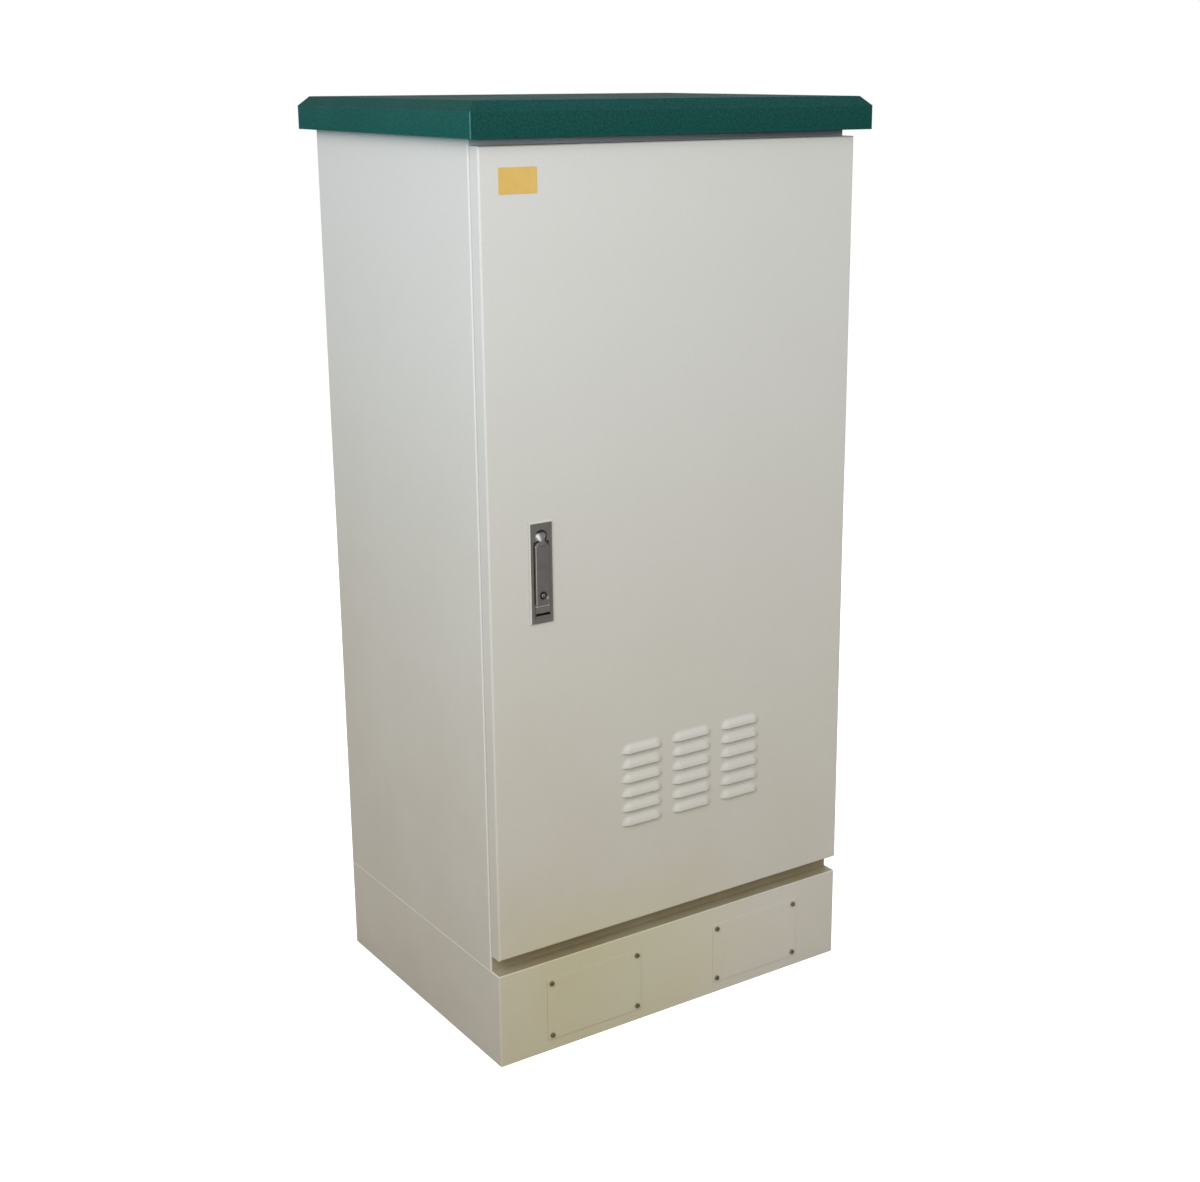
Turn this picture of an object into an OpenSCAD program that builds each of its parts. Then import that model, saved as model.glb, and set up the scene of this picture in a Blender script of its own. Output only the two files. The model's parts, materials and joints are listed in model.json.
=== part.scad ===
/* [Model] */
// Node to draw: all, or one name from the list

/* [Cabinet] */
// Width over the side panels
cab_w = 650; // [560:1:900]
// Depth of the plinth
cab_d = 500; // [420:1:900]
// Height from floor to roof top
cab_h = 1415; // [1300:1:2000]
// Height of the plinth
plinth_h = 150; // [100:1:220]
// Sheet thickness of body, door and roof
sheet_t = 1.5; // [1:0.1:2.5]
// Outer radius of the folds
fold_r = 3; // [2.6:0.1:5]

/* [Roof] */
// Overhang past the plinth on every side
roof_over = 20; // [17:1:50]
// Height of the upright skirt
roof_skirt_h = 34; // [26:1:60]
// Height and width of the chamfer
roof_bevel = 14.5; // [8:0.5:25]
// Inward hem at the lower edge of the skirt
roof_hem = 10; // [4:0.5:12]
// Open height between door and skirt
roof_neck = 10; // [6:0.5:20]
// Height of the spacers between body and roof
roof_spacer_h = 28; // [15:0.5:35]

/* [Door] */
// Depth of the door with its returns
door_d = 22; // [21.5:0.5:30]
// Gap between the returns and the front frame
door_gap = 4; // [4:0.5:8]
// Inset of the door from each side of the body
door_inset = 0.5; // [0.5:0.5:6]
// Open height between plinth and door
door_foot = 26; // [15:1:40]
// How far the door stands in front of the plinth
door_proud = 2; // [0:0.5:6]
// Left stiffener right of the lock spindle
brace_lock = 78; // [70:0.5:90]
// Right stiffener in from the door's right edge
brace_hinge = 109.5; // [100:0.5:140]

/* [Louvres] */
// Most louvres in a row, fewer where the stiffeners leave no room
louvre_cols = 3; // [1:1:4]
// Rows of louvres
louvre_rows = 6; // [1:1:8]
// Width of one louvre
louvre_w = 78; // [50:1:84]
// Height of one louvre
louvre_h = 15.5; // [11:0.5:18]
// How far a louvre stands out
louvre_out = 6; // [3:0.5:7]
// Spacing of the columns
louvre_px = 93.2; // [88:0.1:110]
// Spacing of the rows
louvre_pz = 23.4; // [20:0.1:30]
// Lowest louvre edge above the door's lower edge
louvre_z = 163; // [120:1:240]

/* [Front frame] */
// Width of the frame's flange
flange_w = 35; // [33:1:60]
// Depth of the rain lip
lip_d = 16; // [12:0.5:18]
// Overlap of the door past the lip at top and bottom
lip_lap = 33; // [25:1:50]

/* [Plinth] */
// Sheet thickness of the plinth
plinth_t = 2; // [1.5:0.1:4]
// Width of the plinth's flanges
plinth_flange = 60; // [57:1:75]
// Radius of the anchor holes
anchor_r = 7; // [5:0.5:9]
// Cover plate width
cover_w = 171; // [160:1:190]
// Cover plate height
cover_h = 102; // [95:1:110]
// Cover plate thickness
cover_t = 1.5; // [1:0.1:3]
// Middle of each cover from the cabinet's middle
cover_x = 156.5; // [110:0.5:175]
// Middle of the covers above the floor
cover_z = 69.5; // [60:0.5:80]
// Screws in from the cover's edges
cover_edge = 7.3; // [6:0.1:12]

/* [Rack] */
// Most height units between the rails, fewer where the opening is lower
rack_units = 24; // [6:1:36]
// Height of one unit
unit_h = 44.45; // [40:0.01:48]
// Hole spacing across the rails
rail_span = 465.1; // [450:0.1:480]
// Clear width between the rails
rail_clear = 450; // [430:1:452]
// Radius of the rail holes
rail_hole_r = 3.4; // [2.5:0.1:3.6]
// Sheet thickness of rails and beams
rail_t = 2; // [1.5:0.1:3]
// Front rails behind the front frame
rail_set = 70; // [55:1:120]
// Rear rails in front of the rear panel
rail_back = 70.5; // [40:0.5:120]

/* [Lock] */
// Spindle from the door's left edge
lock_side = 83.5; // [76:0.5:110]
// Spindle above the door's lower edge
lock_up = 641; // [500:1:750]
// Bezel width
bezel_w = 38; // [36:0.5:42]
// Bezel height
bezel_h = 150; // [146:0.5:160]
// Bezel face in front of the door
bezel_t = 3.5; // [3:0.1:5]
// Lever width
lever_w = 22.5; // [20:0.5:25]
// Lever thickness
lever_t = 3.5; // [3:0.1:5]
// Turning radius of the rod pins
cam_r = 16; // [15:0.5:18]

/* [Hinges] */
// Outer hinges in from the door's ends
hinge_end = 140; // [110:1:250]
// Hinge axis in from the door's edge
hinge_in = 9; // [8.5:0.1:10]
// Knuckle radius
knuckle_r = 5; // [4.5:0.1:5.5]
// Hinge pin radius
hinge_pin_r = 3; // [2:0.1:3.5]

/* [Fits] */
// Clearance of parts that turn in each other
run_fit = 0.06; // [0.03:0.01:0.1]
// Clearance of parts that pass each other
free_fit = 0.4; // [0.3:0.05:0.6]

/* [Hidden] */
$fn = 64;

// Overrun of cuts
over = 1;
half_share = 0.5;
// Diagonal position of the cam pins
diag_share = sqrt(half_share);
// Shift of a 45 degree bevel for one unit of wall
bevel_share = tan(22.5);
hex_sides = 6;

// Main planes
half_w = cab_w / 2;
half_d = cab_d / 2;
roof_z0 = cab_h - roof_bevel - roof_skirt_h;
body_z1 = cab_h - sheet_t - roof_spacer_h;
door_w = cab_w - 2 * door_inset;
door_z0 = plinth_h + door_foot;
door_z1 = roof_z0 - roof_neck;
door_h = door_z1 - door_z0;
door_y = -half_d - door_proud;
skin_y = door_y + sheet_t;
frame_y = door_y + door_d + door_gap;
frame_in_y = frame_y + sheet_t;
lip_y = frame_y - lip_d;
open_x = half_w - flange_w;
open_z0 = door_z0 + lip_lap;
open_z1 = door_z1 - lip_lap;
rear_y = half_d - 2 * sheet_t;

// Plinth values
plinth_edge = 1.2;
plinth_open_x = half_w - plinth_flange;
plinth_open_y = half_d - plinth_flange;
anchor_in = 20;
cover_port_edge = 16;
cover_corner = 2;
cover_hole_r = 2.75;
cover_screw_r = 2.4;
cover_head_r = 3.9;
cover_head_h = 2.6;
cover_nut_r = 4.6;
cover_nut_h = 4;
cover_screw_l = cover_t + plinth_t + cover_nut_h;
cross_w = 1.2;
cross_l = 5;
cross_h = 1.2;

// Body values
tray_h = 20;
base_in_x = 32;
base_in_y = 45;
base_bolt_r = 5;
base_hole_r = 5.5;
base_head_r = 9;
base_head_h = 6.5;
base_nut_h = 8;
vent_slots = 12;
vent_w = 8;
vent_l = 130;
vent_pitch = 20;
vent_in = 175;
vent_x = half_w - vent_in;
gland_w = 300;
gland_d = 180;
gland_t = 2;
gland_lap = 20;
gland_back = 150;
gland_y = half_d - gland_back;
gland_pitch = 120;
gland_count = 2;
gland_hole_r = 28;
grommet_r = 33;
grommet_lip = 3;
grommet_bore_r = 18;
gland_screw_r = 2;
gland_screw_l = 8;
gland_head_r = 4;
gland_head_h = 2.5;
gland_in = gland_lap / 2;

// Roof values
roof_x = half_w + roof_over;
roof_y = half_d + roof_over;
spacer_r = 10;
spacer_bore_r = 4.2;
roof_bolt_r = 4;
roof_head_r = 7.5;
roof_head_h = 5.3;
spacer_in = 70;

// Rack values
rail_end = 14;
rail_space = 5;
rail_room = open_z1 - open_z0 - 2 * (rail_end + rail_space);
rail_units = min(rack_units, floor(rail_room / unit_h));
rack_h = rail_units * unit_h;
rail_z0 = (open_z0 + open_z1 - rack_h) / 2;
rail_web = 30;
rail_past = 25.5;
rail_out = rail_span / 2 + rail_past;
rail_y0 = frame_y + rail_set;
rail_y1 = rear_y - rail_back;
rail_first = 6.35;
rail_gap = 15.875;
rail_holes = 3;
beam_h = 40;
beam_over = 20;
beam_in = 30;
beam_z0 = rail_z0 + beam_in;
beam_z1 = rail_z0 + rack_h - beam_h - beam_in;
rail_bolt_r = 3;
rail_bolt_hole_r = 3.2;
rail_head_r = 5;
rail_head_h = 4;
rail_nut_h = 5;

// Door values
gasket_w = 14;
gasket_gap = 0.3;
brace_w = 30;
brace_foot = 10;
brace_d = 13;
brace_end = 30;
brace_left_x = -door_w / 2 + lock_side + brace_lock;
brace_right_x = door_w / 2 - brace_hinge;
filter_edge = 14;
filter_d = 18;
filter_t = 1;
filter_rim = 12;
filter_ear = 15;
louvre_x = (brace_left_x + brace_right_x) / 2;
louvre_room = brace_right_x - brace_left_x - brace_w - 2 * (brace_foot + filter_edge + filter_ear) - louvre_w;
louvre_n = min(louvre_cols, floor(louvre_room / louvre_px) + 1);
filter_w = louvre_px * (louvre_n - 1) + louvre_w + 2 * filter_edge;
filter_h = louvre_pz * (louvre_rows - 1) + louvre_h + 2 * filter_edge;
filter_z = door_z0 + louvre_z - filter_edge;
filter_pad_t = 12;
stud_r = 2;
stud_l = 9;
stud_nut_r = 4;
stud_nut_h = 3.2;
stud_hole_r = 2.3;
louvre_sink = 0.5;
louvre_step = 0.15;
louvre_blend_r = 7;
louvre_rise = louvre_out - louvre_step;
louvre_sum = (louvre_h * louvre_h + louvre_rise * louvre_rise) / (2 * louvre_rise);
louvre_r = louvre_sum - louvre_blend_r;
louvre_mid = louvre_out - louvre_r;

// Hinge values
hinge_x = door_w / 2 - hinge_in;
hinge_y = door_y + door_d / 2;
hinge_zs = [door_z0 + hinge_end, (door_z0 + door_z1) / 2, door_z1 - hinge_end];
knuckle_h = 24;
knuckle_side_h = 20;
knuckle_gap = 0.3;
leaf_t = 2.5;
leaf_h = 84;
leaf_back = 14.5;
leaf_fore = 5;
leaf_base_t = 3;
leaf_base_h = 52;
leaf_base_x0 = 21;
leaf_base_x1 = 8;
leaf_arm_w = 4.5;
leaf_arm_h = 20;
leaf_arm_from = (hinge_pin_r + knuckle_r) / 2;
leaf_arm_x = 10.5;
leaf_run = hinge_y - frame_y + leaf_base_t;
leaf_arm_l = sqrt(leaf_run * leaf_run + leaf_arm_x * leaf_arm_x);
leaf_arm_a = atan2(leaf_arm_x, -leaf_run);
notch_clear = 1.5;
notch_low = 2;
pin_past = 2;
hinge_screw_x = 15.5;
hinge_screw_dz = 19;
hinge_screw_r = 2.4;
hinge_screw_l = 8;
hinge_head_r = 4;
hinge_head_h = 2.5;

// Lock values, measured from the spindle and the door's face
lock_x = -door_w / 2 + lock_side;
lock_z = door_z0 + lock_up;
bezel_top = 21.5;
bezel_rim = 2;
bezel_bevel = 1.5;
bezel_low = bezel_h - bezel_top;
boss_w = 28;
boss_top = 15;
boss_in = 6.5;
boss_low = bezel_low - boss_in;
boss_d = 14;
dish_r = 10.2;
dish_floor = -1.5;
pocket_gap = 1.6;
shaft_r = 7;
shaft_end = 29.8;
square_w = 8;
lever_gap = 0.4;
lever_y = bezel_t + lever_gap;
lever_pivot = 12;
lever_top = 7;
lever_neck = 14.8;
lever_tip_w = 5.2;
lever_low = 100.5;
lever_corner = 2;
lever_pin_r = 1;
lever_lift_a = 40;
pin_seat = 2.6;
lever_round = lever_t / 2;
lever_edge = 0.8;
neck_w = 7.8;
neck_low = 6;
hub_r = 8;
hub_t = 1.7;
hub_z = dish_floor + lever_gap;
hub_wide = 8.5;
hub_wide_up = 1.5;
hub_top = 4.8;
hub_top_w = 5.2;
hub_rise = 2;
hub_side = 3.2;
hub_ridge = 0.3;
neck_front = 5;
neck_back = 8.8;
key_low = 86.3;
key_r = 5.4;
key_collar_r = 6.6;
key_collar_h = 1;
key_out = 0.2;
key_sink = 1;
key_groove_in = 3.5;
key_groove_out = 4.7;
key_groove_d = 1.4;
key_slot_w = 1.2;
key_slot_l = 6.4;
key_slot_d = 3;
foot_w = 23.4;
foot_top = 101.5;
foot_flat = 116;
foot_low = 126;
foot_t = 1.9;
finger_w = 22.8;
finger_at = 113.9;
finger_h = 3;
finger_d = 6;
clamp_t = 2;
clamp_gap = 0.5;
clamp_screw_r = 2;
clamp_screw_l = 8;
clamp_head_r = 4;
clamp_head_h = 2.5;
clamp_screw_z = [-20, -100];
cam_t = 3;
cam_hub_r = 9.5;
cam_lobe_r = 5.5;
cam_bar_w = 9;
cam_pin_r = 2.5;
cam_pin_l = 6;
cam_screw_r = 2.5;
cam_screw_l = 9;
cam_head_r = 5;
cam_head_h = 2.6;
rod_w = 16;
rod_x = 14;
rod_t = 3;
rod_gap = 0.7;
rod_slot_gap = 0.7;
rod_wall = 3;
rod_tip = 5;
rod_short = 2;
rod_y0 = shaft_end + cam_t + rod_gap;
guide_t = 2.5;
guide_w = 36;
guide_h = 30;
guide_in = 80;
guide_past = 5;
pin_at = cam_r * diag_share;

// Box between two corners
module box(lo, hi) {
  translate(lo) cube(hi - lo);
}

// Rectangle between two corners
module rect(lo, hi) {
  translate(lo) square(hi - lo);
}

// Rectangle round the origin with round corners
module round_rect(w, d, r) {
  square([w - 2 * r, d], center = true);
  square([w, d - 2 * r], center = true);
  for (x = [-1, 1])
    for (y = [-1, 1])
      translate([x * (w / 2 - r), y * (d / 2 - r)]) circle(r);
}

// Section of a tub: round corners at zero height, open side up
module tub(w, d, r) {
  rect([-w / 2, r], [w / 2, d]);
  rect([-w / 2 + r, 0], [w / 2 - r, d]);
  for (x = [-1, 1])
    translate([x * (w / 2 - r), r]) circle(r);
}

// Section of a plate with bevelled front edges
module bevel_bar(w, rim, t, bevel) {
  polygon([
    [-w / 2, 0],
    [w / 2, 0],
    [w / 2, rim],
    [w / 2 - bevel, t],
    [-w / 2 + bevel, t],
    [-w / 2, rim]
  ]);
}

// Runs a section drawn in X and Y up along Z
module rise(z0, z1) {
  translate([0, 0, z0]) linear_extrude(z1 - z0) children();
}

// Runs a section drawn in Y and Z along X
module across(x0, x1) {
  translate([x0, 0, 0]) rotate([90, 0, 90]) linear_extrude(x1 - x0) children();
}

// Runs a section drawn in X and Z back along Y
module deep(y0, y1) {
  translate([0, y1, 0]) rotate([90, 0, 0]) linear_extrude(y1 - y0) children();
}

// Screw along Z with the underside of its head at zero
module screw(r, l, head_r, head_h) {
  difference() {
    union() {
      cylinder(r = head_r, h = head_h);
      translate([0, 0, -l]) cylinder(r = r, h = l);
    }
    for (a = [0, 90])
      rotate(a) translate([-cross_l / 2, -cross_w / 2, head_h - cross_h]) cube([cross_l, cross_w, cross_h + over]);
  }
}

// Hexagon bolt along Z with the underside of its head at zero
module hex_bolt(r, l, head_r, head_h) {
  cylinder(r = head_r, h = head_h, $fn = hex_sides);
  translate([0, 0, -l]) cylinder(r = r, h = l);
}

// Hexagon nut along Z
module hex_nut(r, h, bore_r) {
  difference() {
    cylinder(r = r, h = h, $fn = hex_sides);
    translate([0, 0, -over]) cylinder(r = bore_r, h = h + 2 * over);
  }
}

module front() {
  rotate([90, 0, 0]) children();
}

module at_cover_screws() {
  for (s = [-1, 1])
    for (x = [-1, 1])
      for (z = [-1, 1])
        translate([
          s * cover_x + x * (cover_w / 2 - cover_edge),
          -half_d,
          cover_z + z * (cover_h / 2 - cover_edge)
        ]) front() children();
}

module at_corners(x, y, z) {
  for (sx = [-1, 1])
    for (sy = [-1, 1])
      translate([sx * x, sy * y, z]) children();
}

module plinth_frame() {
  color("gainsboro") difference() {
    intersection() {
      rise(0, plinth_h) round_rect(cab_w, cab_d, fold_r);
      across(-half_w, half_w) bevel_bar(cab_d, plinth_h - plinth_edge, plinth_h, plinth_edge);
      deep(-half_d, half_d) bevel_bar(cab_w, plinth_h - plinth_edge, plinth_h, plinth_edge);
    }
    rise(plinth_t, plinth_h - plinth_t) round_rect(cab_w - 2 * plinth_t, cab_d - 2 * plinth_t, fold_r - sheet_t);
    rise(-over, plinth_h + over) square([2 * plinth_open_x, 2 * plinth_open_y], center = true);
    at_corners(half_w - anchor_in, half_d - anchor_in, -over) cylinder(r = anchor_r, h = plinth_t + 2 * over);
    at_base_bolts() translate([0, 0, -sheet_t - plinth_t - over]) cylinder(r = base_hole_r, h = plinth_t + 2 * over);
    for (s = [-1, 1])
      translate([s * cover_x, 0, cover_z])
        box(
          [-cover_w / 2 + cover_port_edge, -half_d - over, -cover_h / 2 + cover_port_edge],
          [cover_w / 2 - cover_port_edge, -half_d + plinth_t + over, cover_h / 2 - cover_port_edge]
        );
    at_cover_screws() translate([0, 0, -plinth_t - over]) cylinder(r = cover_hole_r, h = plinth_t + 2 * over);
  }
}

module plinth_cover(side) {
  color("gainsboro") difference() {
    translate([side * cover_x, 0, cover_z]) deep(-half_d - cover_t, -half_d) round_rect(cover_w, cover_h, cover_corner);
    at_cover_screws() translate([0, 0, -over]) cylinder(r = cover_hole_r, h = cover_t + 2 * over);
  }
}

module plinth_cover_left() {
  plinth_cover(-1);
}

module plinth_cover_right() {
  plinth_cover(1);
}

module cover_screws() {
  color("dimgray") at_cover_screws() translate([0, 0, cover_t])
    screw(cover_screw_r, cover_screw_l, cover_head_r, cover_head_h);
}

module cover_nuts() {
  color("silver") at_cover_screws() translate([0, 0, -plinth_t - cover_nut_h])
    hex_nut(cover_nut_r, cover_nut_h, cover_screw_r);
}

module at_hinge_screws() {
  for (z = hinge_zs)
    for (s = [-1, 1])
      translate([hinge_x - hinge_screw_x, frame_y - leaf_base_t, z + s * hinge_screw_dz]) front() children();
}

// Left panel, with its folded flanges and rain lip
module side_shell() {
  rise(plinth_h, body_z1) translate([-half_w, (frame_y + half_d) / 2]) rotate(-90) difference() {
    tub(half_d - frame_y, flange_w, fold_r);
    translate([0, sheet_t]) tub(half_d - frame_y - 2 * sheet_t, flange_w, fold_r - sheet_t);
  }
  box([-open_x - sheet_t, lip_y, open_z0 - sheet_t], [-open_x, frame_in_y, open_z1 + sheet_t]);
}

module side_panel_left() {
  color("gainsboro") side_shell();
}

module side_panel_right() {
  color("gainsboro") difference() {
    mirror([1, 0, 0]) side_shell();
    at_hinge_screws() translate([0, 0, -hinge_screw_l]) cylinder(r = hinge_screw_r, h = hinge_screw_l);
  }
}

module rear_panel() {
  color("gainsboro") box(
    [-half_w + 2 * sheet_t + over, rear_y, plinth_h],
    [half_w - 2 * sheet_t - over, rear_y + sheet_t, body_z1]
  );
}

// Outline of the trays between the side panels
module tray_outline(inset) {
  w = cab_w - 2 * sheet_t;
  d = rear_y - frame_in_y;
  translate([0, (rear_y + frame_in_y) / 2]) round_rect(w - 2 * inset, d - 2 * inset, fold_r - inset);
}

module top_panel() {
  color("gainsboro") difference() {
    rise(body_z1 - tray_h, body_z1) tray_outline(0);
    rise(body_z1 - tray_h - over, body_z1 - sheet_t) tray_outline(sheet_t);
    for (s = [-1, 1])
      for (i = [0 : vent_slots - 1])
        translate([s * vent_x, (i - (vent_slots - 1) / 2) * vent_pitch, body_z1 - sheet_t - over])
          rise(0, sheet_t + 2 * over) round_rect(vent_l, vent_w, vent_w / 2 - sheet_t);
    at_corners(half_w - spacer_in, half_d - 2 * spacer_in, body_z1 - sheet_t - over)
      cylinder(r = spacer_bore_r, h = sheet_t + 2 * over);
  }
}

module at_grommets() {
  for (i = [0 : gland_count - 1])
    translate([(i - (gland_count - 1) / 2) * gland_pitch, gland_y, plinth_h + sheet_t]) children();
}

module at_gland_screws() {
  for (x = [-1, 1])
    for (y = [-1, 1])
      translate([
        x * (gland_w / 2 - gland_in),
        gland_y + y * (gland_d / 2 - gland_in),
        plinth_h + sheet_t + gland_t
      ]) children();
}

module bottom_panel() {
  color("gainsboro") difference() {
    rise(plinth_h, plinth_h + tray_h) tray_outline(0);
    rise(plinth_h + sheet_t, plinth_h + tray_h + over) tray_outline(sheet_t);
    box(
      [-gland_w / 2 + gland_lap, gland_y - gland_d / 2 + gland_lap, plinth_h - over],
      [gland_w / 2 - gland_lap, gland_y + gland_d / 2 - gland_lap, plinth_h + sheet_t + over]
    );
    at_gland_screws() translate([0, 0, -gland_screw_l]) cylinder(r = gland_screw_r, h = gland_screw_l);
    at_base_bolts() translate([0, 0, -sheet_t - over]) cylinder(r = base_hole_r, h = sheet_t + 2 * over);
  }
}

// Section of the header or sill: flange and lip
module frame_bar(z_edge, z_far) {
  dir = sign(z_far - z_edge);
  rect([frame_y, min(z_edge, z_far)], [frame_in_y, max(z_edge, z_far)]);
  rect([lip_y, min(z_edge, z_edge + dir * sheet_t)], [frame_in_y, max(z_edge, z_edge + dir * sheet_t)]);
}

module frame_header() {
  color("gainsboro") across(-open_x, open_x) frame_bar(open_z1, body_z1);
}

module frame_sill() {
  color("gainsboro") across(-open_x, open_x) frame_bar(open_z0, plinth_h);
}

module at_base_bolts() {
  at_corners(half_w - base_in_x, half_d - base_in_y, plinth_h + sheet_t) children();
}

module base_bolts() {
  color("silver") at_base_bolts() {
    hex_bolt(base_bolt_r, sheet_t + plinth_t + base_nut_h, base_head_r, base_head_h);
    translate([0, 0, -sheet_t - plinth_t - base_nut_h]) cylinder(r = base_head_r, h = base_nut_h, $fn = hex_sides);
  }
}

module gland_plate() {
  color("silver") difference() {
    translate([0, gland_y, 0]) rise(plinth_h + sheet_t, plinth_h + sheet_t + gland_t) round_rect(gland_w, gland_d, fold_r);
    at_grommets() translate([0, 0, -over]) cylinder(r = gland_hole_r, h = gland_t + 2 * over);
    at_gland_screws() translate([0, 0, -gland_screw_l]) cylinder(r = gland_screw_r, h = gland_screw_l + over);
  }
}

module gland_screws() {
  color("silver") at_gland_screws() screw(gland_screw_r, gland_screw_l, gland_head_r, gland_head_h);
}

module cable_grommets() {
  color("black") at_grommets() difference() {
    union() {
      cylinder(r = gland_hole_r, h = gland_t);
      translate([0, 0, gland_t]) cylinder(r = grommet_r, h = grommet_lip);
      translate([0, 0, -grommet_lip]) cylinder(r = grommet_r, h = grommet_lip);
    }
    translate([0, 0, -grommet_lip - over]) cylinder(r = grommet_bore_r, h = gland_t + 2 * (grommet_lip + over));
  }
}

// Section of the roof between its two skirts
module roof_section(half, z0, z1, bevel) {
  polygon([
    [-half, z0],
    [half, z0],
    [half, z1 - bevel],
    [half - bevel, z1],
    [-half + bevel, z1],
    [-half, z1 - bevel]
  ]);
}

module roof_block(inset, z0) {
  bevel = roof_bevel - inset * (1 - bevel_share);
  intersection() {
    deep(-roof_y + inset, roof_y - inset) roof_section(roof_x - inset, z0, cab_h - inset, bevel);
    across(-roof_x + inset, roof_x - inset) roof_section(roof_y - inset, z0, cab_h - inset, bevel);
    rise(z0, cab_h) round_rect(2 * (roof_x - inset), 2 * (roof_y - inset), fold_r - inset);
  }
}

module roof() {
  color("darkslategray") difference() {
    roof_block(0, roof_z0);
    roof_block(sheet_t, roof_z0 + sheet_t);
    rise(roof_z0 - over, roof_z0 + sheet_t + over) square([2 * (roof_x - roof_hem), 2 * (roof_y - roof_hem)], center = true);
  }
}

module at_spacers() {
  at_corners(half_w - spacer_in, half_d - 2 * spacer_in, body_z1) children();
}

module roof_spacers() {
  color("silver") at_spacers() difference() {
    cylinder(r = spacer_r, h = roof_spacer_h);
    translate([0, 0, -over]) cylinder(r = spacer_bore_r, h = roof_spacer_h);
  }
}

module roof_bolts() {
  color("silver") at_spacers() translate([0, 0, -sheet_t]) rotate([180, 0, 0])
    hex_bolt(roof_bolt_r, roof_spacer_h - over, roof_head_r, roof_head_h);
}

// Right front rail: flange with holes and a web behind it
module rail() {
  difference() {
    union() {
      box([rail_clear / 2, 0, rail_z0 - rail_end], [rail_out, rail_t, rail_z0 + rack_h + rail_end]);
      box([rail_out - rail_t, 0, rail_z0 - rail_end], [rail_out, rail_web, rail_z0 + rack_h + rail_end]);
    }
    for (u = [0 : rail_units - 1])
      for (i = [0 : rail_holes - 1])
        translate([rail_span / 2, rail_t + over, rail_z0 + u * unit_h + rail_first + i * rail_gap])
          front() cylinder(r = rail_hole_r, h = rail_t + 2 * over);
    for (z = [beam_z0, beam_z1])
      translate([rail_out - rail_t - over, rail_web / 2 + rail_t, z + beam_h / 2])
        rotate([0, 90, 0]) cylinder(r = rail_bolt_hole_r, h = rail_t + 2 * over);
  }
}

module rack_rail_front_left() {
  color("silver") mirror([1, 0, 0]) translate([0, rail_y0, 0]) rail();
}

module rack_rail_front_right() {
  color("silver") translate([0, rail_y0, 0]) rail();
}

module rack_rail_rear_left() {
  color("silver") mirror([1, 0, 0]) translate([0, rail_y1, 0]) mirror([0, 1, 0]) rail();
}

module rack_rail_rear_right() {
  color("silver") translate([0, rail_y1, 0]) mirror([0, 1, 0]) rail();
}

module at_rail_bolts(side, z) {
  for (y = [rail_y0 + rail_web / 2 + rail_t, rail_y1 - rail_web / 2 - rail_t])
    translate([side * (rail_out - rail_t), y, z + beam_h / 2]) rotate([0, -side * 90, 0]) children();
}

// Channel between a rail and the side panel
module depth_beam(side, z) {
  x1 = half_w - sheet_t;
  color("silver") difference() {
    box(
      [side > 0 ? rail_out : -x1, rail_y0 - beam_over, z],
      [side > 0 ? x1 : -rail_out, rail_y1 + beam_over, z + beam_h]
    );
    box(
      [side > 0 ? rail_out + rail_t : -x1 + rail_t, rail_y0 - beam_over - over, z + rail_t],
      [side > 0 ? x1 - rail_t : -rail_out - rail_t, rail_y1 + beam_over + over, z + beam_h + over]
    );
    at_rail_bolts(side, z) translate([0, 0, -2 * rail_t - over]) cylinder(r = rail_bolt_hole_r, h = 2 * rail_t + over);
  }
}

module depth_beam_lower_left() {
  depth_beam(-1, beam_z0);
}

module depth_beam_lower_right() {
  depth_beam(1, beam_z0);
}

module depth_beam_upper_left() {
  depth_beam(-1, beam_z1);
}

module depth_beam_upper_right() {
  depth_beam(1, beam_z1);
}

module rail_bolts() {
  color("silver") for (s = [-1, 1])
    for (z = [beam_z0, beam_z1])
      at_rail_bolts(s, z) {
        hex_bolt(rail_bolt_r, 2 * rail_t + rail_nut_h, rail_head_r, rail_head_h);
        translate([0, 0, -2 * rail_t - rail_nut_h]) cylinder(r = rail_head_r, h = rail_nut_h, $fn = hex_sides);
      }
}

// Leaf on the front frame: base, arm and middle knuckle
module hinge_frame_leaf(z) {
  color("silver") translate([hinge_x, hinge_y, z]) difference() {
    union() {
      box(
        [-leaf_base_x0, frame_y - hinge_y - leaf_base_t, -leaf_base_h / 2],
        [-leaf_base_x1, frame_y - hinge_y, leaf_base_h / 2]
      );
      rotate(leaf_arm_a)
        box([-leaf_arm_w / 2, leaf_arm_from, -leaf_arm_h / 2], [leaf_arm_w / 2, leaf_arm_l, leaf_arm_h / 2]);
      translate([0, 0, -knuckle_h / 2]) cylinder(r = knuckle_r, h = knuckle_h);
    }
    translate([0, 0, -knuckle_h / 2 - over]) cylinder(r = hinge_pin_r, h = knuckle_h + 2 * over);
    for (s = [-1, 1])
      translate([-hinge_screw_x, frame_y - hinge_y + over, s * hinge_screw_dz])
        front() cylinder(r = hinge_screw_r, h = leaf_base_t + 2 * over);
  }
}

module hinge_frame_leaf_lower() {
  hinge_frame_leaf(hinge_zs[0]);
}

module hinge_frame_leaf_middle() {
  hinge_frame_leaf(hinge_zs[1]);
}

module hinge_frame_leaf_upper() {
  hinge_frame_leaf(hinge_zs[2]);
}

module hinge_screws() {
  color("silver") at_hinge_screws() screw(hinge_screw_r, hinge_screw_l, hinge_head_r, hinge_head_h);
}

module hinge_pins() {
  reach = knuckle_h / 2 + knuckle_gap + knuckle_side_h + pin_past;
  color("silver") for (z = hinge_zs)
    translate([hinge_x, hinge_y, z - reach]) cylinder(r = hinge_pin_r, h = 2 * reach);
}

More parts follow.
